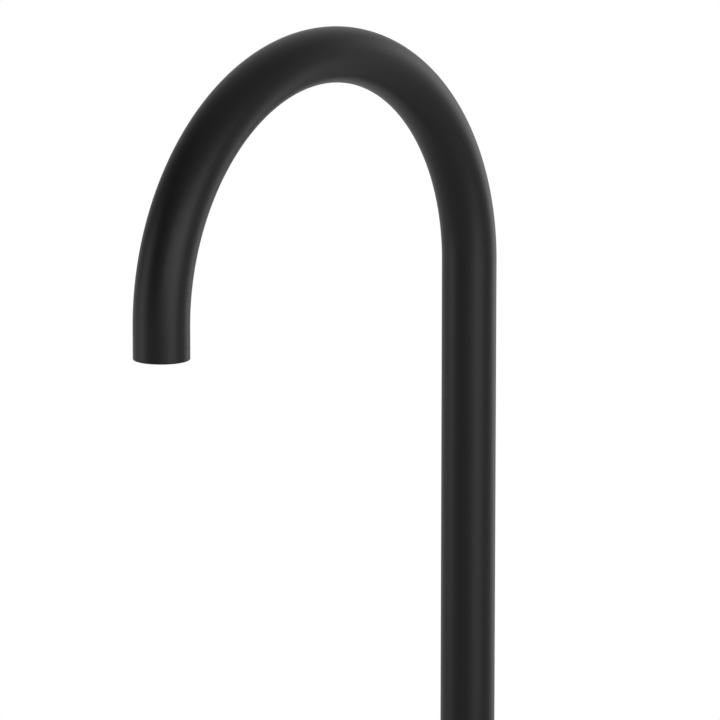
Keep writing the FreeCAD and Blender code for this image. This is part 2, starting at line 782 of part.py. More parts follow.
pocketed(mixer_body, "outlet_riser", LEVEL, outlet_riser_low, socket_floor - outlet_riser_low,
         [(0, dim.outlet_way_offset, dim.outlet_way / 2)])
pocketed(mixer_body, "stop_screw_hole", FRONT, 0, body_radius,
         [(0, stop_height, dim.stop_screw / 2 + dim.axial_play)], back=True)
body_screws = []
for bearing in bearings(dim.screw_count, 90):
    hole = new_sketch(mixer_body, f"body_screw_hole_{bearing:.0f}_outline", LEVEL)
    hole.MapMode = "Deactivated"
    point_inwards(hole, bearing, column_radius, body_screw_height)
    add_circle(hole, 0, 0, dim.body_screw / 2 + dim.axial_play)
    cut = mixer_body.newObject("PartDesign::Pocket", f"body_screw_hole_{bearing:.0f}")
    cut.Profile = hole
    cut.Reversed = True
    bind(cut, "Length", dim.body_screw_length + dim.end_play)

    screw = socket_screw(
        f"body_screw_{bearing:.0f}", dim.body_screw, dim.body_screw_length, dim.screw_socket)
    point_inwards(screw, bearing, column_radius - dim.slip_fit, body_screw_height)
    body_screws.append(screw)
grouped("body_screws", body_screws)

# Cartridge. Its pieces are drawn round their own Z axis, which points out of the turret.
inlets = [
    (-dim.inlet_way_side, dim.inlet_way_up, dim.inlet_way / 2),
    (dim.inlet_way_side, dim.inlet_way_up, dim.inlet_way / 2),
]
mixed = (0, -dim.mixed_way_down, dim.mixed_way / 2)
ports = inlets + [mixed]

cartridge_base = new_body("cartridge_base")
padded(cartridge_base, "disc", LEVEL, 0, dim.base_thickness, [(0, 0, cartridge_radius)])
padded(cartridge_base, "pegs", LEVEL, -dim.peg_length, dim.peg_length + dim.axial_play, [
    (-dim.peg_side, -dim.peg_down, dim.peg_diameter / 2),
    (dim.peg_side, -dim.peg_down, dim.peg_diameter / 2),
])
pocketed(cartridge_base, "seal_seats", LEVEL, 0, dim.base_lip, [
    (x, y, radius + dim.base_lip) for x, y, radius in ports])
pocketed(cartridge_base, "ports", LEVEL, 0, dim.base_thickness, ports)
on_turret(cartridge_base, 0)

for name, (x, y, radius) in zip(("hot_port_seal", "cold_port_seal", "mixed_port_seal"), ports):
    seal = new_body(name)
    padded(seal, "ring", LEVEL, 0, dim.base_lip - dim.axial_play, [
        (x, y, radius + dim.base_lip - dim.slip_fit),
        (x, y, radius + dim.slip_fit),
    ])
    on_turret(seal, 0)

fixed_disc = new_body("fixed_disc")
padded(fixed_disc, "disc", LEVEL, 0, dim.fixed_disc, [(0, 0, dim.housing_bore / 2 - dim.slip_fit)])
pocketed(fixed_disc, "ports", LEVEL, 0, dim.fixed_disc, ports)
on_turret(fixed_disc, dim.base_thickness)

# The moving disc rests at the shut end of its slide; its hollow joins the inlets to the outlet.
cavity_high = dim.inlet_way_up - dim.inlet_way / 2 - dim.disc_seal + disc_travel
cavity_side = dim.inlet_way_side + dim.cavity_margin
cavity_low = dim.mixed_way_down + dim.mixed_way / 2 - disc_travel
moving_disc = new_body("moving_disc")
padded(moving_disc, "disc", LEVEL, 0, dim.moving_disc, [(0, 0, dim.disc_diameter / 2)])
pocketed(moving_disc, "mixing_hollow", LEVEL, 0, dim.cavity_depth, polygons=[[
    (-cavity_side, cavity_high),
    (-cavity_side, -(dim.mixed_way / 2)),
    (-(dim.mixed_way / 2), -cavity_low),
    (dim.mixed_way / 2, -cavity_low),
    (cavity_side, -(dim.mixed_way / 2)),
    (cavity_side, cavity_high),
]])
moving_disc_low = dim.base_thickness + dim.fixed_disc
place(moving_disc, 0, -(dim.pocket_floor + moving_disc_low), lever_height - disc_travel, ALONG_X, 90)

disc_carrier = new_body("disc_carrier")
padded(disc_carrier, "disc", LEVEL, 0, dim.carrier_height, [(0, 0, dim.disc_diameter / 2)])
flat = dim.flat_width / 2
edge = dim.disc_diameter
pocketed(disc_carrier, "flats", LEVEL, 0, dim.carrier_height, polygons=[
    rectangle(flat, edge, -edge, edge),
    rectangle(-edge, -flat, -edge, edge),
])
ball_slot = dim.stem_ball / 2 + dim.slip_fit
pocketed(disc_carrier, "ball_slot", LEVEL, dim.carrier_height, dim.carrier_height - dim.rotor_gap,
         polygons=[rectangle(-ball_slot, ball_slot, -ball_slot, ball_slot)], back=True)
place(disc_carrier, 0, -(dim.pocket_floor + carrier_low), lever_height - disc_travel, ALONG_X, 90)

# The rotor carries the stem's pivot, and its two legs turn the disc carrier.
cartridge_rotor = new_body("cartridge_rotor")
rotor_radius = dim.housing_bore / 2 - 2 * dim.slip_fit
leg_low = carrier_low + dim.rotor_gap
padded(cartridge_rotor, "blank", LEVEL, leg_low, rotor_high - leg_low, [(0, 0, rotor_radius)])
leg_inside = flat + 2 * dim.slip_fit
edge = dim.housing_bore
pocketed(cartridge_rotor, "between_legs", LEVEL, leg_low, rotor_low - leg_low,
         polygons=[rectangle(-leg_inside, leg_inside, -edge, edge)])
pocketed(cartridge_rotor, "beside_legs", LEVEL, leg_low, rotor_low - leg_low, polygons=[
    rectangle(-edge, edge, dim.leg_width / 2, edge),
    rectangle(-edge, edge, -edge, -(dim.leg_width / 2)),
])
stem_slot = dim.stem_side / 2 + 2 * dim.slip_fit
pocketed(cartridge_rotor, "stem_slot", LEVEL, leg_low, rotor_high - leg_low,
         polygons=[rectangle(-stem_slot, stem_slot, -(dim.rotor_slot / 2), dim.rotor_slot / 2)])
pocketed(cartridge_rotor, "pivot_hole", SIDE, -dim.housing_bore / 2, dim.housing_bore,
         [(0, pivot_out, dim.pivot_pin / 2 + dim.axial_play)])
on_turret(cartridge_rotor, 0)

stem_pivot_pin = new_body("stem_pivot_pin")
padded(stem_pivot_pin, "pin", SIDE, -(dim.pivot_pin_length / 2), dim.pivot_pin_length,
       [(0, 0, dim.pivot_pin / 2)])
on_turret(stem_pivot_pin, pivot_out)

# The stem leans up while the water is shut. Its origin is the pivot.
half_stem = dim.stem_side / 2
stem = new_body("cartridge_stem")
padded(stem, "shank", LEVEL, -dim.stem_foot, dim.stem_foot + dim.stem_reach,
       polygons=[rectangle(-half_stem, half_stem, -half_stem, half_stem)])
padded(stem, "neck", LEVEL, -dim.stem_arm, dim.stem_arm - dim.stem_foot, [(0, 0, dim.stem_neck / 2)])
ball(stem, "ball", "PartDesign::AdditiveSphere", dim.stem_ball / 2, -dim.stem_arm)
pocketed(stem, "pivot_hole", SIDE, -dim.stem_side, 2 * dim.stem_side,
         [(0, 0, dim.pivot_pin / 2 + dim.axial_play)])
on_turret(stem, pivot_out, 90 - half_tilt)

cartridge_housing = new_body("cartridge_housing")
turned(cartridge_housing, "cup", [
    (dim.housing_bore / 2, dim.base_thickness),
    (cartridge_radius, dim.base_thickness),
    (cartridge_radius, housing_shoulder),
    (dim.housing_neck / 2, housing_shoulder),
    (dim.housing_neck / 2, housing_shoulder + dim.housing_neck_height),
    (dim.stem_opening / 2, housing_shoulder + dim.housing_neck_height),
    (dim.stem_opening / 2, housing_shoulder - dim.housing_top),
    (dim.housing_bore / 2, housing_shoulder - dim.housing_top),
])
on_turret(cartridge_housing, 0)

# Retaining nut, with a collar for the bonnet and notches for its key.
cartridge_nut = new_body("cartridge_nut")
nut_low = housing_shoulder
nut_high = nut_low + dim.nut_height
collar_high = turret_out + dim.nut_collar_height
turned(cartridge_nut, "ring", [
    (dim.housing_neck / 2 + dim.slip_fit, nut_low),
    (dim.nut_diameter / 2 - dim.slip_fit, nut_low),
    (dim.nut_diameter / 2 - dim.slip_fit, nut_high),
    (dim.nut_collar / 2, nut_high),
    (dim.nut_collar / 2, collar_high),
    (dim.housing_neck / 2 + dim.slip_fit, collar_high),
])
key_notch = pocketed(
    cartridge_nut, "notch", LEVEL, nut_high, dim.nut_collar_height + dim.nut_height,
    polygons=[rectangle(0, dim.nut_collar, -(dim.notch_width / 2), dim.notch_width / 2)])
patterned(cartridge_nut, "notches", key_notch, dim.notch_count)
on_turret(cartridge_nut, 0)

# Bonnet: a thin dome round the pivot, pushed onto the nut's collar.
dome_inside = dim.dome_radius - dim.dome_wall
grip_radius = dim.nut_collar / 2 + dim.axial_play
grip_high = root(dome_inside * dome_inside - grip_radius * grip_radius)
grip_outside = root(dim.dome_radius * dim.dome_radius - grip_high * grip_high) - dim.slip_fit * 2
bonnet = new_body("bonnet")
ball(bonnet, "dome", "PartDesign::AdditiveSphere", dim.dome_radius)
ball(bonnet, "inside", "PartDesign::SubtractiveSphere", dome_inside)
padded(bonnet, "grip", LEVEL, face_from_pivot, grip_high - face_from_pivot,
       [(0, 0, grip_outside), (0, 0, grip_radius)])
pocketed(bonnet, "open_half", LEVEL, -(2 * dim.dome_radius), 2 * dim.dome_radius + face_from_pivot,
         [(0, 0, 2 * dim.dome_radius)])
pocketed(bonnet, "stem_opening", LEVEL, face_from_pivot, 2 * dim.dome_radius,
         [(0, 0, dim.stem_opening / 2)])
on_turret(bonnet, pivot_out)

# Lever hub: hollow over the bonnet, its rim cut back on the side that tips towards the turret.
hub_radius = dim.hub_diameter / 2
hub_inside = dim.dome_radius + dim.hub_play
rim_top = face_from_pivot + dim.hub_gap
past = dim.hub_diameter
lever_hub = new_body("lever_hub")
hub_turned = turned(lever_hub, "cap", [
    (0, dim.hub_hollow),
    (hub_inside, dim.hub_hollow),
    (hub_inside, rim_top),
    (hub_radius, rim_top),
    (hub_radius, dim.hub_end),
    (0, dim.hub_end),
])
rounded(lever_hub, "outer_edge", hub_turned, hub_radius, dim.hub_end, dim.hub_rounding)
pocketed(lever_hub, "slanted_rim", SIDE, -past, 2 * past, polygons=[[
    (past, rim_top - dim.hub_slant / 2),
    (-past, rim_top + dim.hub_slant * 3 / 2),
    (-past, rim_top - dim.hub_slant),
    (past, rim_top - dim.hub_slant),
]])
socket_half = half_stem + dim.slip_fit
pocketed(lever_hub, "stem_socket", LEVEL, 0, dim.stem_reach + dim.end_play,
         polygons=[rectangle(-socket_half, socket_half, -socket_half, socket_half)], tilt=half_tilt)
seat_height = hub_radius - dim.rod_seat
pocketed(lever_hub, "rod_seat", FRONT, -past, past - seat_height,
         [(0, dim.rod_place, dim.rod_diameter / 2 + dim.axial_play)])
pocketed(lever_hub, "rod_stud_hole", FRONT, -past, past - seat_height + dim.rod_stud_length + dim.end_play,
         [(0, dim.rod_place, dim.rod_stud / 2 + dim.axial_play)])
grub_top = dim.grub_place - dim.grub_screw / 2
grub_top = grub_top * sine(half_tilt) / cosine(half_tilt) - half_stem / cosine(half_tilt) - dim.slip_fit
pocketed(lever_hub, "grub_hole", FRONT, past, past + grub_top,
         [(0, dim.grub_place, dim.grub_screw / 2 + dim.axial_play)], back=True)
pocketed(lever_hub, "plug_hole", FRONT, past, past - hub_radius + dim.plug_length + dim.slip_fit,
         [(0, dim.grub_place, dim.plug_diameter / 2 + dim.axial_play)], back=True)
on_turret(lever_hub, pivot_out)

lever_rod = new_body("lever_rod")
rod_turned = turned(lever_rod, "rod", [
    (0, seat_height - dim.rod_stud_length),
    (dim.rod_stud / 2, seat_height - dim.rod_stud_length),
    (dim.rod_stud / 2, seat_height),
    (dim.rod_diameter / 2, seat_height),
    (dim.rod_diameter / 2, dim.rod_reach),
    (0, dim.rod_reach),
])
rounded(lever_rod, "tip", rod_turned, dim.rod_diameter / 2, dim.rod_reach, dim.rod_rounding)
place(lever_rod, 0, -(dim.pocket_floor + pivot_out + dim.rod_place), lever_height)

grub_y = -(dim.pocket_floor + pivot_out + dim.grub_place)
lever_set_screw = socket_screw("lever_set_screw", dim.grub_screw, dim.grub_length, dim.screw_socket)
place(lever_set_screw, 0, grub_y, lever_height + grub_top - dim.grub_length)

# The plug's face is rounded like the hub it closes.
lever_plug = new_body("lever_plug")
padded(lever_plug, "plug", LEVEL, -(hub_radius + dim.plug_length), 2 * dim.plug_length,
       [(0, 0, dim.plug_diameter / 2)])
plug_edge = dim.plug_diameter
plug_face = new_sketch(lever_plug, "plug_face_outline", FRONT, -plug_edge)
add_circle(plug_face, 0, 0, 2 * hub_radius)
add_circle(plug_face, 0, 0, hub_radius)
plug_cut = lever_plug.newObject("PartDesign::Pocket", "plug_face")
plug_cut.Profile = plug_face
plug_cut.Reversed = True
bind(plug_cut, "Length", 2 * plug_edge)
place(lever_plug, 0, grub_y, lever_height)

# Spout: one bent pipe on a spigot that turns in the body's socket.
spout_tube = new_body("spout_tube")
path = new_sketch(spout_tube, "centre_line", FRONT)
path.addGeometry(Part.LineSegment(
    FreeCAD.Vector(0, pipe_low.value, 0), FreeCAD.Vector(0, arch_low.value, 0)), False)
path.addGeometry(Part.ArcOfCircle(
    Part.Circle(FreeCAD.Vector(-dim.arch_radius.value, arch_low.value, 0), FreeCAD.Vector(0, 0, 1),
                dim.arch_radius.value), 0, math.pi), False)
path.addGeometry(Part.LineSegment(
    FreeCAD.Vector(-reach.value, arch_low.value, 0),
    FreeCAD.Vector(-reach.value, outlet_low.value, 0)), False)
path.addConstraint(Sketcher.Constraint("Coincident", 0, 2, 1, 1))
path.addConstraint(Sketcher.Constraint("Coincident", 1, 2, 2, 1))
hold_point(path, 0, 1, 0, pipe_low)
hold_point(path, 0, 2, 0, arch_low)
hold_point(path, 1, 3, -dim.arch_radius, arch_low)
hold_point(path, 2, 2, -reach, outlet_low)
hold(path, 1, 2, "DistanceY", arch_low)
section = new_sketch(spout_tube, "section", LEVEL, pipe_low)
add_circle(section, 0, 0, pipe_radius)
add_circle(section, 0, 0, pipe_bore)
document.recompute()
bent = spout_tube.newObject("PartDesign::AdditivePipe", "bent_pipe")
bent.Profile = section
bent.Spine = (path, ["Edge1", "Edge2", "Edge3"])
rounded(spout_tube, "outlet_edge", bent, pipe_radius, outlet_low, dim.pipe_edge)

spigot = new_body("spout_spigot")
journal_low = socket_floor + dim.end_play
turned(spigot, "spigot", [
    (dim.spigot_bore / 2, journal_low),
    (journal_radius, journal_low),
    (journal_radius, flange_low),
    (dim.flange_diameter / 2, flange_low),
    (dim.flange_diameter / 2, flange_high),
    (pipe_radius, flange_high),
    (pipe_radius, pipe_low),
    (pipe_bore - dim.axial_play, pipe_low),
    (pipe_bore - dim.axial_play, pipe_low + dim.braze_length),
    (dim.spigot_bore / 2, pipe_low + dim.braze_length),
])
ring_floor = dim.socket_diameter / 2 - dim.swivel_ring - 2 * dim.seal_play
for name, drop in (("lower", dim.swivel_ring_low), ("upper", dim.swivel_ring_high)):
    middle = body_top - drop
    half_width = dim.swivel_ring / 2 + dim.slip_fit
    grooved(spigot, name + "_ring_groove", [
        (ring_floor, middle - half_width),
        (dim.socket_diameter / 2, middle - half_width),
        (dim.socket_diameter / 2, middle + half_width),
        (ring_floor, middle + half_width),
    ])
    seal_ring(f"spout_seal_{name}", dim.socket_diameter / 2 - dim.swivel_ring / 2 - dim.seal_play,
              dim.swivel_ring, 0, 0, middle)
# The stop screw's tip runs in this slot and ends the swivel.
slot_floor = dim.socket_diameter / 2 - dim.stop_tip_length - dim.end_play
tip_angle = dim.stop_tip / slot_floor * math.degrees(1)
slot_angle = 2 * dim.swivel_angle + tip_angle + dim.slot_spare
slot_half = dim.stop_tip / 2 + dim.end_play
grooved(spigot, "swivel_slot", [
    (slot_floor, stop_height - slot_half),
    (dim.socket_diameter / 2, stop_height - slot_half),
    (dim.socket_diameter / 2, stop_height + slot_half),
    (slot_floor, stop_height + slot_half),
], slot_angle, SIDE)

stop_screw = new_body("swivel_stop_screw")
turned(stop_screw, "screw", [
    (0, 0),
    (dim.stop_screw / 2, 0),
    (dim.stop_screw / 2, dim.stop_screw_length),
    (dim.stop_tip / 2, dim.stop_screw_length),
    (dim.stop_tip / 2, dim.stop_screw_length + dim.stop_tip_length),
    (0, dim.stop_screw_length + dim.stop_tip_length),
])
pocketed(stop_screw, "key", LEVEL, 0, dim.socket_deep, polygons=[hexagon(0, 0, dim.screw_socket)])
stop_out = dim.socket_diameter / 2 + dim.axial_play + dim.stop_screw_length
place(stop_screw, 0, stop_out, stop_height, ALONG_X, 90)

slide_ring_lower = new_body("slide_ring_lower")
padded(slide_ring_lower, "ring", LEVEL, counterbore_floor, dim.slide_ring, [
    (0, 0, dim.counterbore / 2 - dim.slip_fit),
    (0, 0, dim.socket_diameter / 2 + dim.slip_fit),
])
slide_ring_upper = new_body("slide_ring_upper")
padded(slide_ring_upper, "ring", LEVEL, flange_high + dim.axial_play, dim.slide_ring, [
    (0, 0, dim.counterbore / 2 - dim.slip_fit),
    (0, 0, dim.collar_bore / 2),
])

spout_collar = new_body("spout_collar")
collar_radius = dim.collar_diameter / 2
collar_top = neck_top + dim.collar_lip
collar_turned = turned(spout_collar, "collar", [
    (dim.neck_diameter / 2 + dim.axial_play, body_top + dim.axial_play),
    (collar_radius, body_top + dim.axial_play),
    (collar_radius, collar_top),
    (dim.collar_bore / 2, collar_top),
    (dim.collar_bore / 2, neck_top),
    (dim.neck_diameter / 2 + dim.axial_play, neck_top),
])
rounded(spout_collar, "top_edge", collar_turned, collar_radius, collar_top, dim.collar_rounding)

# Outlet: a ring fixed in the pipe takes the flow straightener, which sits back from the edge.
insert_low = outlet_low + dim.insert_recess
insert_seat = insert_low + dim.insert_flange_thick
adaptor_low = insert_seat + dim.gasket_thickness
insert_high = insert_low + dim.insert_height
insert_radius = dim.insert_thread / 2 - dim.adaptor_play
insert_bore = insert_radius - dim.insert_wall

outlet_adaptor = new_body("outlet_adaptor")
padded(outlet_adaptor, "ring", LEVEL, adaptor_low, dim.adaptor_length, [
    (0, 0, pipe_bore - dim.axial_play),
    (0, 0, dim.insert_thread / 2),
])
place(outlet_adaptor, -reach)

outlet_gasket = new_body("outlet_gasket")
padded(outlet_gasket, "ring", LEVEL, insert_seat, dim.gasket_thickness, [
    (0, 0, dim.insert_flange / 2),
    (0, 0, dim.insert_thread / 2 + dim.slip_fit),
])
place(outlet_gasket, -reach)

straightener_housing = new_body("straightener_housing")
turned(straightener_housing, "cup", [
    (insert_bore, insert_low),
    (dim.insert_flange / 2, insert_low),
    (dim.insert_flange / 2, insert_seat),
    (insert_radius, insert_seat),
    (insert_radius, insert_high),
    (insert_bore, insert_high),
])
housing_notch = pocketed(
    straightener_housing, "notch", LEVEL, insert_low, dim.insert_flange_thick / 2,
    polygons=[rectangle(insert_bore + dim.cell_wall, dim.insert_flange,
                        -(dim.insert_notch / 2), dim.insert_notch / 2)])
patterned(straightener_housing, "notches", housing_notch, dim.notch_count)
place(straightener_housing, -reach)

# Honeycomb of 37 cells: a middle cell and three rings round it.
core_radius = insert_bore - dim.axial_play
core_low = insert_low + dim.cell_wall
cell_pitch = dim.cell_width + dim.cell_wall
straightener_core = new_body("straightener_core")
padded(straightener_core, "blank", LEVEL, core_low, dim.core_height, [(0, 0, core_radius)])
pocketed(straightener_core, "middle_cell", LEVEL, core_low, dim.core_height,
         polygons=[hexagon(0, 0, dim.cell_width, 30)])
sector = []
for ring in (1, 2, 3):
    for step in range(ring):
        x = cell_pitch * (ring - step / 2)
        y = cell_pitch * (step * round(math.sin(math.radians(60)), 9))
        sector.append((x, y))
cells = pocketed(straightener_core, "cells", LEVEL, core_low, dim.core_height,
                 polygons=[hexagon(x, y, dim.cell_width, 30) for x, y in sector])
patterned(straightener_core, "all_cells", cells, 6)
place(straightener_core, -reach)

straightener_screen = new_body("straightener_screen")
screen_low = core_low + dim.core_height
padded(straightener_screen, "disc", LEVEL, screen_low, dim.screen_thickness, [(0, 0, core_radius)])
pocketed(straightener_screen, "middle_hole", LEVEL, screen_low, dim.screen_thickness,
         polygons=[hexagon(0, 0, dim.screen_hole, 30)])
screen_holes = pocketed(straightener_screen, "holes", LEVEL, screen_low, dim.screen_thickness,
                        polygons=[hexagon(x, y, dim.screen_hole, 30) for x, y in sector])
patterned(straightener_screen, "all_holes", screen_holes, 6)
place(straightener_screen, -reach)

document.recompute()
for item in document.Objects:
    if "Invalid" in item.State or "Error" in item.State:
        raise RuntimeError(f"{item.Label} failed: {item.State}")
    base = getattr(item, "BaseFeature", None)
    if base is not None and item.TypeId in ("PartDesign::Pocket", "PartDesign::Groove"):
        if item.Shape.Volume > base.Shape.Volume - 0.001:
            raise RuntimeError(f"{item.Label} cuts nothing")

os.makedirs("parts", exist_ok=True)
for item in sub_parts:
    shape = item.Shape
    if shape.isNull() or not shape.isValid():
        raise RuntimeError(f"{item.Label} has no sound shape")
    if len(shape.Solids) != len(getattr(item, "Links", [item])):
        raise RuntimeError(f"{item.Label} is {len(shape.Solids)} solids")
    shape.exportStep(f"parts/{item.Label}.step")
    print(f"{item.Label}: {shape.Volume / 1000:.2f} cm3")
print(f"{len(sub_parts)} pieces")
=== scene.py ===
import json
import math
import bpy
from mathutils import Matrix, Vector


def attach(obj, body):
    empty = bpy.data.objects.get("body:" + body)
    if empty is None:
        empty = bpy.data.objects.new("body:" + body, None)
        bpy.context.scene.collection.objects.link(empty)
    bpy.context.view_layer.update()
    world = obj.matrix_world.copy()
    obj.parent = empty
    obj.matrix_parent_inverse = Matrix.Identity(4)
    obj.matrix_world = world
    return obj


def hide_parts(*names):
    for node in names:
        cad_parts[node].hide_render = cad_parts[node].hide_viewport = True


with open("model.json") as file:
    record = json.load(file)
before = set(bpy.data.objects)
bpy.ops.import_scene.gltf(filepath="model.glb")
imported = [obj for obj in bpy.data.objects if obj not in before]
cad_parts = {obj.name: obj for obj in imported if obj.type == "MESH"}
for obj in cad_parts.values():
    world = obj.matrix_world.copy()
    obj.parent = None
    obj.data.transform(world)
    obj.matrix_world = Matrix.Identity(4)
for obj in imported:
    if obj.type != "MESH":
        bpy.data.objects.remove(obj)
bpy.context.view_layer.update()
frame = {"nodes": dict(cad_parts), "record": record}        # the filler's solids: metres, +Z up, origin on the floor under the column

nodes = frame["nodes"]
bodies = frame["record"]["behaviour"]["bodies"]
bodyOf = {node: body for body, members in bodies.items() for node in members}
slotOf = {part["node"]: part["material_slot"] for part in frame["record"]["subparts"]}
pieceSlots = {}          # filled as pieces are made
scene = bpy.context.scene

shaping = {
    "near": 0.00002,           # how far a point may lie off the rim that is looked for
    "weld": 0.000005,
    "edgeAngle": 30,           # degrees: edges sharper than this are softened
    "smoothAngle": 32,         # degrees: edges flatter than this are shaded smooth
}


def deselectAll():
    if bpy.context.object is not None and bpy.context.object.mode != "OBJECT":
        bpy.ops.object.mode_set(mode="OBJECT")
    bpy.ops.object.select_all(action="DESELECT")


def pickOnly(piece):
    deselectAll()
    piece.select_set(True)
    bpy.context.view_layer.objects.active = piece


def startCircle(name, radius, centre, segments):      # left in edit mode with the ring selected
    deselectAll()
    bpy.ops.mesh.primitive_circle_add(vertices=segments, radius=radius, location=centre)
    piece = bpy.context.object
    piece.name = name
    pickOnly(piece)
    bpy.ops.object.transform_apply(location=True, rotation=True, scale=True)
    bpy.ops.object.mode_set(mode="EDIT")
    bpy.ops.mesh.select_mode(type="EDGE")
    bpy.ops.mesh.select_all(action="SELECT")
    return piece


def stepRing(up, factor=1):      # extrude the selected ring, lift it, then widen or narrow it
    bpy.ops.mesh.extrude_region_move(TRANSFORM_OT_translate={"value": (0, 0, up)})
    if factor != 1:
        bpy.ops.transform.resize(value=(factor, factor, 1))


def turnRings(name, centre, rings, segments):      # rings: (height, radius) in order along the profile
    height, radius = rings[0]
    piece = startCircle(name, radius, (centre[0], centre[1], height), segments)
    for nextHeight, nextRadius in rings[1:]:
        stepRing(nextHeight - height, nextRadius / radius)
        height, radius = nextHeight, nextRadius
    return piece


def selectRim(piece, height, radius, centre=(0, 0)):
    bpy.ops.object.mode_set(mode="OBJECT")
    mesh = piece.data
    points = mesh.vertices
    near = shaping["near"]
    for face in mesh.polygons:
        face.select = False
    for point in points:
        out = math.hypot(point.co.x - centre[0], point.co.y - centre[1])
        point.select = abs(point.co.z - height) < near and abs(out - radius) < near
    for edge in mesh.edges:
        edge.select = points[edge.vertices[0]].select and points[edge.vertices[1]].select
    bpy.ops.object.mode_set(mode="EDIT")


def closeMesh():      # weld the seam and point the faces outwards, then leave edit mode
    bpy.ops.mesh.select_all(action="SELECT")
    bpy.ops.mesh.remove_doubles(threshold=shaping["weld"])
    bpy.ops.mesh.normals_make_consistent(inside=False)
    bpy.ops.object.mode_set(mode="OBJECT")


def roundRim(piece, look, height, radius, centre=(0, 0)):
    selectRim(piece, height, radius, centre)
    bpy.ops.mesh.bevel(offset=look["rounding"], segments=look["roundingSegments"], affect="EDGES")
    bpy.ops.object.mode_set(mode="OBJECT")


def softenEdges(piece, look):
    pickOnly(piece)
    bevel = piece.modifiers.new("softEdges", "BEVEL")
    bevel.width = look["edge"]
    bevel.segments = look["edgeSegments"]
    bevel.limit_method = "ANGLE"
    bevel.angle_limit = math.radians(shaping["edgeAngle"])
    bevel.use_clamp_overlap = True
    bpy.ops.object.modifier_apply(modifier=bevel.name)


def smoothPiece(piece, angle):
    pickOnly(piece)
    bpy.ops.object.shade_smooth_by_angle(angle=math.radians(angle))
    weigh = piece.modifiers.new("evenShading", "WEIGHTED_NORMAL")
    weigh.keep_sharp = True
    bpy.ops.object.modifier_apply(modifier=weigh.name)


def standFor(piece, node):
    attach(piece, bodyOf[node])
    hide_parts(node)
    pieceSlots[piece.name] = slotOf[node]


def finishPiece(piece, look, node):
    softenEdges(piece, look)
    smoothPiece(piece, shaping["smoothAngle"])
    standFor(piece, node)


# the camera has the photograph's angle and frames the swan neck
view = {
    "target": (-0.09995, 0.0, 0.90343),
    "azimuth": -0.878310,      # radians, from behind -Y towards +X
    "elevation": 0.190832,
    "roll": 0.000889,
    "distance": 3.9077,
    "lens": 339.99,            # millimetres, as is the sensor
    "sensor": 36.0,
    "farthest": 100,
}


def addCamera():
    azimuth, elevation, roll = view["azimuth"], view["elevation"], view["roll"]
    level = math.cos(elevation)
    back = Vector((math.sin(azimuth) * level, -math.cos(azimuth) * level, math.sin(elevation)))
    right = Vector((math.cos(azimuth), math.sin(azimuth), 0))
    up = back.cross(right)
    rolledRight = right * math.cos(roll) + up * math.sin(roll)
    rolledUp = up * math.cos(roll) - right * math.sin(roll)
    data = bpy.data.cameras.new("photoCamera")
    data.lens = view["lens"]
    data.sensor_width = view["sensor"]
    data.clip_end = view["farthest"]
    camera = bpy.data.objects.new("photoCamera", data)
    scene.collection.objects.link(camera)
    turn = Matrix((rolledRight, rolledUp, back)).transposed().to_4x4()
    camera.matrix_world = Matrix.Translation(Vector(view["target"]) + back * view["distance"]) @ turn
    scene.camera = camera


addCamera()
print("camera placed")

# one pipe, lifted to its bend, spun round it and dropped to the outlet
swanNeck = {
    "radius": 0.016,
    "wall": 0.0015,
    "foot": 0.64805,
    "bendStart": 0.9478,
    "bendRadius": 0.1362,
    "drop": 0.0185,
    "rounding": 0.0006,        # the outlet's outer edge
    "roundingSegments": 8,
    "edge": 0.00025,
    "edgeSegments": 4,
    "segments": 128,
    "riseSteps": 6,
    "bendSteps": 120,
}


def makeSwanNeck():
    foot = (0, 0, swanNeck["foot"])
    pipe = startCircle("swanNeckPipe", swanNeck["radius"], foot, swanNeck["segments"])
    rise = (swanNeck["bendStart"] - swanNeck["foot"]) / swanNeck["riseSteps"]
    for step in range(swanNeck["riseSteps"]):
        stepRing(rise)
    bpy.ops.mesh.spin(steps=swanNeck["bendSteps"], angle=math.pi, axis=(0, 1, 0),
                      center=(-swanNeck["bendRadius"], 0, swanNeck["bendStart"]))
    stepRing(-swanNeck["drop"])
    closeMesh()
    pickOnly(pipe)
    wall = pipe.modifiers.new("wall", "SOLIDIFY")
    wall.thickness = swanNeck["wall"]
    wall.offset = -1
    wall.use_even_offset = True
    bpy.ops.object.modifier_apply(modifier=wall.name)
    mouth = swanNeck["bendStart"] - swanNeck["drop"]
    roundRim(pipe, swanNeck, mouth, swanNeck["radius"], (-2 * swanNeck["bendRadius"], 0))
    finishPiece(pipe, swanNeck, "spout_tube")


makeSwanNeck()
print("swan neck bent")

# the collar holds the swan neck down on the body
collar = {
    "bore": 0.01640,
    "inside": 0.02005,
    "radius": 0.0230,
    "low": 0.64005,
    "lip": 0.6470,
    "top": 0.6520,
    "rounding": 0.0035,
    "roundingSegments": 8,
    "edge": 0.00025,
    "edgeSegments": 2,
    "segments": 128,
}


def makeCollar():
    piece = turnRings("swivelCollar", (0, 0), [
        (collar["low"], collar["inside"]),
        (collar["low"], collar["radius"]),
        (collar["top"], collar["radius"]),
        (collar["top"], collar["bore"]),
        (collar["lip"], collar["bore"]),
        (collar["lip"], collar["inside"]),
        (collar["low"], collar["inside"]),
    ], collar["segments"])
    closeMesh()
    roundRim(piece, collar, collar["top"], collar["radius"])
    finishPiece(piece, collar, "spout_collar")


makeCollar()
print("collar turned")

# the floor cover is a thin pressed shell round the column's foot
cover = {
    "hole": 0.0253,
    "radius": 0.0560,
    "height": 0.0200,
    "wall": 0.0025,
    "rounding": 0.0040,
    "roundingSegments": 10,
    "edge": 0.0003,
    "edgeSegments": 2,
    "segments": 160,
}


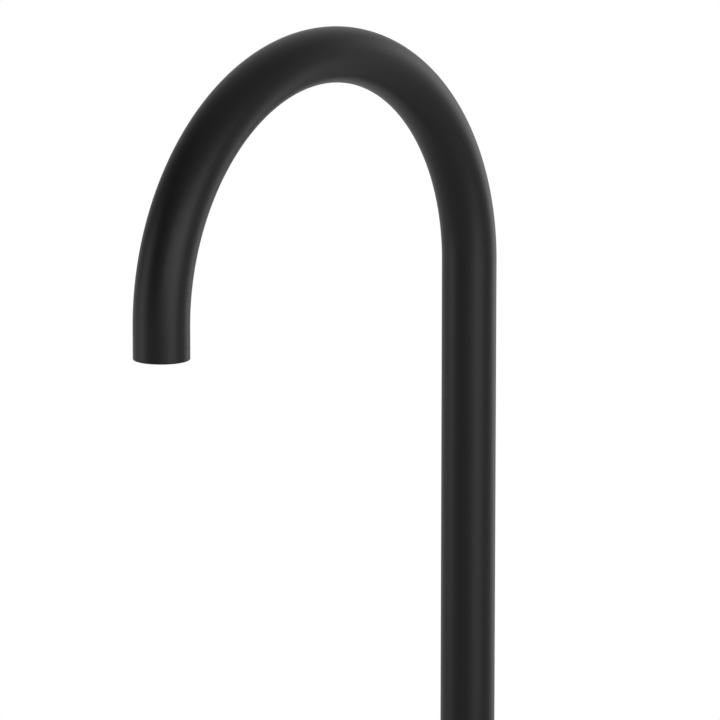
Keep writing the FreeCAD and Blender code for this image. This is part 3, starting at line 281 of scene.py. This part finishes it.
def makeCover():
    under = cover["height"] - cover["wall"]
    inside = cover["radius"] - cover["wall"]
    piece = turnRings("floorCoverShell", (0, 0), [
        (under, cover["hole"]),
        (under, inside),
        (0, inside),
        (0, cover["radius"]),
        (cover["height"], cover["radius"]),
        (cover["height"], cover["hole"]),
        (under, cover["hole"]),
    ], cover["segments"])
    closeMesh()
    roundRim(piece, cover, cover["height"], cover["radius"])
    finishPiece(piece, cover, "floor_cover")


makeCover()
print("floor cover turned")

# the lever rod is a slim pin with a rounded tip, screwed into the hub
rod = {
    "forward": -0.0617,
    "stud": 0.0030,
    "radius": 0.0045,
    "low": 0.5840,
    "seat": 0.5910,
    "top": 0.6620,
    "rounding": 0.0020,
    "roundingSegments": 8,
    "edge": 0.0002,
    "edgeSegments": 2,
    "segments": 64,
}


def makeRod():
    centre = (0, rod["forward"])
    piece = turnRings("leverRod", centre, [
        (rod["low"], rod["stud"]),
        (rod["seat"], rod["stud"]),
        (rod["seat"], rod["radius"]),
        (rod["top"], rod["radius"]),
    ], rod["segments"])
    bpy.ops.mesh.edge_face_add()                       # closes the tip
    selectRim(piece, rod["low"], rod["stud"], centre)
    bpy.ops.mesh.edge_face_add()                       # closes the stud
    closeMesh()
    roundRim(piece, rod, rod["top"], rod["radius"], centre)
    finishPiece(piece, rod, "lever_rod")


makeRod()
print("lever rod turned")

# these pieces keep their solids' shape, and their round faces get the true normals of the turned forms
turned = {
    "column": 0.0250,          # radii
    "body": 0.0280,
    "turret": 0.0240,
    "shoulder": 0.500,         # heights of the body's lower and upper end, and of the turret's axis
    "bodyTop": 0.640,
    "turretUp": 0.570,
    "hubFront": -0.0697,       # along Y
    "bodyRounding": 0.0015,
    "hubRounding": 0.0025,
    "miss": 0.00003,           # how far a corner may lie off the turned form that its face belongs to
    "lean": 0.96,              # cosine of the most that the face may lean away from it
    "weld": 0.000002,
    "smoothAngle": 25,         # degrees
}


def turnedFace(axis, centre, radius, rounding=0):      # a cylinder, or the rounded edge at its end
    return {
        "axis": Vector(axis),
        "centre": Vector(centre),
        "radius": radius - rounding,
        "rounding": rounding,
    }


def uprightFace(height, radius, rounding=0):
    return turnedFace((0, 0, 1), (0, 0, height), radius, rounding)


def turretFace(forward, rounding=0):
    return turnedFace((0, 1, 0), (0, forward, turned["turretUp"]), turned["turret"], rounding)


skins = {
    "column_tube": {"name": "columnSkin", "faces": [uprightFace(0, turned["column"])]},
    "mixer_body": {"name": "mixerBodySkin", "faces": [
        uprightFace(0, turned["body"]),
        turretFace(0),
        uprightFace(turned["bodyTop"] - turned["bodyRounding"], turned["body"], turned["bodyRounding"]),
        uprightFace(turned["shoulder"] + turned["bodyRounding"], turned["body"], turned["bodyRounding"]),
    ]},
    "lever_hub": {"name": "leverHubSkin", "faces": [
        turretFace(0),
        turretFace(turned["hubFront"] + turned["hubRounding"], turned["hubRounding"]),
    ]},
    "lever_plug": {"name": "leverPlugSkin", "faces": [turretFace(0)]},
    "bonnet": {"name": "bonnetSkin", "faces": []},
    "straightener_housing": {"name": "outletInsertSkin", "faces": []},
}


def normalAt(point, form):      # the turned form's normal there, and how far the point lies off the form
    off = point - form["centre"]
    sideways = off - form["axis"] * off.dot(form["axis"])
    if form["rounding"] == 0:
        return sideways.normalized(), abs(sideways.length - form["radius"])
    arm = off - sideways.normalized() * form["radius"]
    return arm.normalized(), abs(arm.length - form["rounding"])


def trueNormals(skin, forms):
    mesh = skin.data
    normals = [corner.vector.copy() for corner in mesh.corner_normals]
    for face in mesh.polygons:
        for form in forms:
            found = [normalAt(mesh.vertices[index].co, form) for index in face.vertices]
            lean = normalAt(face.center, form)[0].dot(face.normal)
            if abs(lean) > turned["lean"] and all(miss < turned["miss"] for _, miss in found):
                for loop, (normal, _) in zip(face.loop_indices, found):
                    normals[loop] = normal if lean > 0 else -normal
                break
    mesh.normals_split_custom_set(normals)


def makeSkins():
    for node, look in skins.items():
        skin = bpy.data.objects.new(look["name"], nodes[node].data.copy())
        skin.data.materials.clear()
        scene.collection.objects.link(skin)
        pickOnly(skin)
        bpy.ops.object.mode_set(mode="EDIT")
        bpy.ops.mesh.select_all(action="SELECT")
        bpy.ops.mesh.remove_doubles(threshold=turned["weld"])
        bpy.ops.object.mode_set(mode="OBJECT")
        smoothPiece(skin, turned["smoothAngle"])
        trueNormals(skin, look["faces"])
        standFor(skin, node)


makeSkins()
print("skins smoothed")


def addMath(tree, kind, first, second, clamp=False):      # first and second are sockets or numbers
    step = tree.nodes.new("ShaderNodeMath")
    step.operation = kind
    step.use_clamp = clamp
    for socket, value in zip(step.inputs, (first, second)):
        if isinstance(value, bpy.types.NodeSocket):
            tree.links.new(value, socket)
        else:
            socket.default_value = value
    return step.outputs[0]


def addRange(tree, value, low, high, lowResult, highResult, smooth=False):
    step = tree.nodes.new("ShaderNodeMapRange")
    step.interpolation_type = "SMOOTHSTEP" if smooth else "LINEAR"
    step.inputs["From Min"].default_value = low
    step.inputs["From Max"].default_value = high
    step.inputs["To Min"].default_value = lowResult
    step.inputs["To Max"].default_value = highResult
    tree.links.new(value, step.inputs["Value"])
    return step.outputs[0]


# two patterns serve all finishes: an even grain, and marks drawn out round the upright axis
patterns = {
    "coatGrain": {"stretch": (1, 1, 1), "detail": 2},               # powder, mould and rubber
    "turnedMarks": {"stretch": (0.08, 0.08, 1), "detail": 3},       # as a lathe or a die leaves them
}
grainRange = (0.35, 0.65)      # the grain's values at the least and the most roughness
patchDetail = 4

# one finish for each slot of the record, and one for the grub screws that show
finishes = {
    "black_metal": {           # matt powder coat
        "pattern": "coatGrain",
        "colours": ((0.0011, 0.0011, 0.0011), (0.0019, 0.0019, 0.0019)),
        "roughness": (0.37, 0.44),
        "specular": 0.28,
        "metallic": 0,
        "fine": 2200,          # scale of the grain, then of the patches
        "broad": 45,
        "bump": 0.00004,
    },
    "steel": {
        "pattern": "turnedMarks",
        "colours": ((0.50, 0.50, 0.51), (0.60, 0.60, 0.61)),
        "roughness": (0.24, 0.38),
        "specular": 0.5,
        "metallic": 1,
        "fine": 900,
        "broad": 60,
        "bump": 0.000006,
    },
    "dark_screws": {           # blackened steel
        "pattern": "turnedMarks",
        "colours": ((0.030, 0.030, 0.031), (0.050, 0.050, 0.052)),
        "roughness": (0.32, 0.46),
        "specular": 0.5,
        "metallic": 1,
        "fine": 1500,
        "broad": 200,
        "bump": 0.000006,
    },
    "brass": {
        "pattern": "turnedMarks",
        "colours": ((0.52, 0.34, 0.14), (0.62, 0.43, 0.19)),
        "roughness": (0.22, 0.36),
        "specular": 0.5,
        "metallic": 1,
        "fine": 700,
        "broad": 40,
        "bump": 0.000008,
    },
    "copper": {
        "pattern": "turnedMarks",
        "colours": ((0.56, 0.25, 0.14), (0.68, 0.34, 0.20)),
        "roughness": (0.25, 0.40),
        "specular": 0.5,
        "metallic": 1,
        "fine": 300,
        "broad": 25,
        "bump": 0.000004,
    },
    "rubber": {
        "pattern": "coatGrain",
        "colours": ((0.012, 0.012, 0.012), (0.024, 0.024, 0.024)),
        "roughness": (0.55, 0.72),
        "specular": 0.35,
        "metallic": 0,
        "fine": 1800,
        "broad": 150,
        "bump": 0.00002,
    },
    "white_plastic": {
        "pattern": "coatGrain",
        "colours": ((0.70, 0.70, 0.67), (0.78, 0.78, 0.75)),
        "roughness": (0.38, 0.50),
        "specular": 0.5,
        "metallic": 0,
        "fine": 2600,
        "broad": 90,
        "bump": 0.000008,
    },
    "ceramic": {
        "pattern": "coatGrain",
        "colours": ((0.80, 0.79, 0.75), (0.85, 0.84, 0.80)),
        "roughness": (0.08, 0.16),
        "specular": 0.6,
        "metallic": 0,
        "fine": 3000,
        "broad": 120,
        "bump": 0.000002,
    },
    "black_plastic": {
        "pattern": "coatGrain",
        "colours": ((0.009, 0.009, 0.009), (0.014, 0.014, 0.014)),
        "roughness": (0.40, 0.52),
        "specular": 0.45,
        "metallic": 0,
        "fine": 3000,
        "broad": 200,
        "bump": 0.00001,
    },
    "grey_plastic": {
        "pattern": "coatGrain",
        "colours": ((0.24, 0.24, 0.25), (0.30, 0.30, 0.31)),
        "roughness": (0.35, 0.48),
        "specular": 0.5,
        "metallic": 0,
        "fine": 2800,
        "broad": 160,
        "bump": 0.000008,
    },
}
darkScrews = ("body_screws", "lever_set_screw", "swivel_stop_screw")


def addNoise(tree, place, scale, detail):
    noise = tree.nodes.new("ShaderNodeTexNoise")
    noise.inputs["Detail"].default_value = detail
    tree.links.new(place, noise.inputs["Vector"])
    tree.links.new(scale, noise.inputs["Scale"])
    return noise.outputs["Fac"]


def makePattern(name, pattern):
    group = bpy.data.node_groups.new(name, "ShaderNodeTree")
    group.interface.new_socket("Place", in_out="INPUT", socket_type="NodeSocketVector")
    group.interface.new_socket("Fine", in_out="INPUT", socket_type="NodeSocketFloat")
    group.interface.new_socket("Broad", in_out="INPUT", socket_type="NodeSocketFloat")
    group.interface.new_socket("Grain", in_out="OUTPUT", socket_type="NodeSocketFloat")
    group.interface.new_socket("Patch", in_out="OUTPUT", socket_type="NodeSocketFloat")
    start = group.nodes.new("NodeGroupInput")
    end = group.nodes.new("NodeGroupOutput")
    stretch = group.nodes.new("ShaderNodeVectorMath")
    stretch.operation = "MULTIPLY"
    stretch.inputs[1].default_value = pattern["stretch"]
    group.links.new(start.outputs["Place"], stretch.inputs[0])
    grain = addNoise(group, stretch.outputs[0], start.outputs["Fine"], pattern["detail"])
    patch = addNoise(group, start.outputs["Place"], start.outputs["Broad"], patchDetail)
    group.links.new(grain, end.inputs["Grain"])
    group.links.new(patch, end.inputs["Patch"])
    return group


def makeFinish(slot, finish, groups):
    material = bpy.data.materials.new(slot)
    material.use_nodes = True
    tree = material.node_tree
    link = tree.links.new
    shader = tree.nodes["Principled BSDF"]
    shader.inputs["Metallic"].default_value = finish["metallic"]
    shader.inputs["Specular IOR Level"].default_value = finish["specular"]
    place = tree.nodes.new("ShaderNodeTexCoord")
    pattern = tree.nodes.new("ShaderNodeGroup")
    pattern.node_tree = groups[finish["pattern"]]
    pattern.inputs["Fine"].default_value = finish["fine"]
    pattern.inputs["Broad"].default_value = finish["broad"]
    link(place.outputs["Object"], pattern.inputs["Place"])

    blend = tree.nodes.new("ShaderNodeMix")
    blend.data_type = "RGBA"
    firstColour, secondColour, blended = blend.inputs[6], blend.inputs[7], blend.outputs[2]
    firstColour.default_value = (*finish["colours"][0], 1)
    secondColour.default_value = (*finish["colours"][1], 1)
    link(pattern.outputs["Patch"], blend.inputs["Factor"])
    link(blended, shader.inputs["Base Color"])

    roughness = addRange(tree, pattern.outputs["Grain"], *grainRange, *finish["roughness"])
    link(roughness, shader.inputs["Roughness"])

    bump = tree.nodes.new("ShaderNodeBump")
    bump.inputs["Distance"].default_value = finish["bump"]
    link(pattern.outputs["Grain"], bump.inputs["Height"])
    link(bump.outputs["Normal"], shader.inputs["Normal"])
    return material


def dress(piece, material):
    piece.data.materials.clear()
    piece.data.materials.append(material)


def dressAll():
    groups = {name: makePattern(name, pattern) for name, pattern in patterns.items()}
    materials = {slot: makeFinish(slot, finish, groups) for slot, finish in finishes.items()}
    for name, node in nodes.items():
        dress(node, materials["dark_screws" if name in darkScrews else slotOf[name]])
    for name, slot in pieceSlots.items():
        dress(bpy.data.objects[name], materials[slot])


dressAll()
print("finishes on")

# white floor and surroundings; bearings are fixed in the room: 0 is the photograph's side, 90 is to the
# right of that and 180 behind the filler
stage = {
    "floorSize": 60.0,
    "floorColour": (0.80, 0.80, 0.80, 1),
    "floorFade": (0.25, 1.6),        # the floor's shadow fades between these distances from the column
    "floorWhite": (0.72, 1.0),       # how much of the floor is plain white, near and far
    "floorGloss": 0.73,              # how bright glossy surfaces see the floor
    "matt": 0.50,                    # what the surroundings give to matt surfaces
    "glossSides": (                  # bearing, and what glossy surfaces see away from it and towards it
        (-90, 0.50, 0.17),           # a room with a dark left side
        (180, 0.0, 0.36),            # the backdrop, added to the room
    ),
    "glossFade": (0, 0.8),           # cosines between which a side changes
}


def directionAt(bearing):      # level, away from the filler
    turn = view["azimuth"] + math.radians(bearing)
    return Vector((math.sin(turn), -math.cos(turn), 0))


def addSeen(tree, path):      # 1 where the camera sees a surface, straight or through glass
    return addMath(tree, "ADD", path.outputs["Is Camera Ray"], path.outputs["Is Transmission Ray"])


def addFloor():
    deselectAll()
    bpy.ops.mesh.primitive_plane_add(size=stage["floorSize"], location=(0, 0, 0))
    floor = bpy.context.object
    floor.name = "floor"
    material = bpy.data.materials.new("whiteFloor")
    material.use_nodes = True
    tree = material.node_tree
    tree.nodes.clear()
    output = tree.nodes.new("ShaderNodeOutputMaterial")
    matt = tree.nodes.new("ShaderNodeBsdfDiffuse")
    matt.inputs["Color"].default_value = stage["floorColour"]
    plain = tree.nodes.new("ShaderNodeEmission")
    path = tree.nodes.new("ShaderNodeLightPath")
    place = tree.nodes.new("ShaderNodeTexCoord")
    away = tree.nodes.new("ShaderNodeVectorMath")
    away.operation = "LENGTH"
    tree.links.new(place.outputs["Object"], away.inputs[0])
    fade = addRange(tree, away.outputs["Value"], *stage["floorFade"], *stage["floorWhite"])
    seen = addSeen(tree, path)
    glossy = addMath(tree, "MULTIPLY", path.outputs["Is Glossy Ray"], stage["floorGloss"])
    strength = addMath(tree, "ADD", seen, glossy, clamp=True)
    tree.links.new(strength, plain.inputs["Strength"])
    seenWhite = addMath(tree, "MULTIPLY", seen, fade)
    plainShare = addMath(tree, "MAXIMUM", seenWhite, path.outputs["Is Glossy Ray"])
    mix = tree.nodes.new("ShaderNodeMixShader")
    tree.links.new(plainShare, mix.inputs["Fac"])
    tree.links.new(matt.outputs[0], mix.inputs[1])
    tree.links.new(plain.outputs[0], mix.inputs[2])
    tree.links.new(mix.outputs[0], output.inputs["Surface"])
    floor.data.materials.append(material)


def addWorld():
    world = bpy.data.worlds.new("whiteStudio")
    scene.world = world
    world.use_nodes = True
    tree = world.node_tree
    tree.nodes.clear()
    output = tree.nodes.new("ShaderNodeOutputWorld")
    background = tree.nodes.new("ShaderNodeBackground")
    background.inputs["Color"].default_value = (1, 1, 1, 1)
    path = tree.nodes.new("ShaderNodeLightPath")
    direction = tree.nodes.new("ShaderNodeTexCoord")
    sides = []
    for bearing, awayFrom, towards in stage["glossSides"]:
        side = tree.nodes.new("ShaderNodeVectorMath")
        side.operation = "DOT_PRODUCT"
        side.inputs[1].default_value = directionAt(bearing)
        tree.links.new(direction.outputs["Generated"], side.inputs[0])
        cosine = side.outputs["Value"]
        sides.append(addRange(tree, cosine, *stage["glossFade"], awayFrom, towards, smooth=True))
    room = addMath(tree, "ADD", *sides)
    glossy = addMath(tree, "MULTIPLY", room, path.outputs["Is Glossy Ray"])
    matt = addMath(tree, "MULTIPLY", path.outputs["Is Diffuse Ray"], stage["matt"])
    strength = addMath(tree, "ADD", addMath(tree, "ADD", addSeen(tree, path), glossy), matt)
    tree.links.new(strength, background.inputs["Strength"])
    tree.links.new(background.outputs[0], output.inputs["Surface"])


addFloor()
addWorld()
print("stage built")

# softboxes that face the filler from these bearings, between two heights
lamps = {
    "left": {"bearing": -80, "away": 2.6, "width": 1.44, "low": 0.05, "high": 2.10, "glow": 1.48},
    "rightLow": {"bearing": 40, "away": 2.6, "width": 1.94, "low": 0.05, "high": 1.05, "glow": 2.00},
    "rightHigh": {"bearing": 28, "away": 2.6, "width": 3.06, "low": 1.10, "high": 2.10, "glow": 2.87},
    "rim": {"bearing": 130, "away": 2.6, "width": 1.44, "low": 0.05, "high": 2.10, "glow": 1.22},
}


def addLamps():
    middle = Vector(view["target"])
    for name, lamp in lamps.items():
        tall = lamp["high"] - lamp["low"]
        data = bpy.data.lights.new(name, "AREA")
        data.shape = "RECTANGLE"
        data.size = lamp["width"]
        data.size_y = tall
        data.energy = lamp["glow"] * math.pi * lamp["width"] * tall      # keeps its glow at any size
        light = bpy.data.objects.new(name, data)
        scene.collection.objects.link(light)
        off = directionAt(lamp["bearing"])
        light.location = middle + off * lamp["away"]
        light.location.z = lamp["low"] + tall / 2
        light.rotation_euler = off.to_track_quat("Z", "Y").to_euler()


addLamps()
scene.view_settings.view_transform = "Standard"
print("lamps set")
